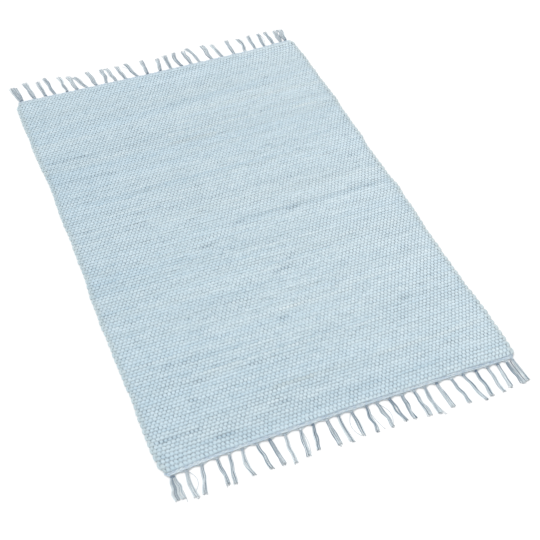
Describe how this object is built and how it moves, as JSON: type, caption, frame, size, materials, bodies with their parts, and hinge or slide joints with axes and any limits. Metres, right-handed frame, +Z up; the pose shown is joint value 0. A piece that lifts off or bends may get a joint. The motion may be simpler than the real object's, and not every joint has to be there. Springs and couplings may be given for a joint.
{
  "type": "handwoven cotton rug",
  "caption": "Rectangular flat-woven rag rug of pale blue cotton with a fine heading and knotted tassels along both short ends, lying flat.",
  "frame": {"origin": "middle of the cloth's underside, on the floor", "axes": "+X across the width to the right edge, +Y along the length to the far end, +Z up out of the woven face"},
  "size_m": [0.6077, 1.0228, 0.0056],
  "materials": {
    "rag_weft": "matt woven cotton rag, pale sky blue with slight streaks from strip to strip",
    "warp_cotton": "matt cotton yarn, greyed lavender blue mixed with off-white threads"
  },
  "bodies": {
    "root": {"woven_field": "rag_weft", "near_heading_fringe": "warp_cotton", "far_heading_fringe": "warp_cotton"}
  },
  "joints": []
}
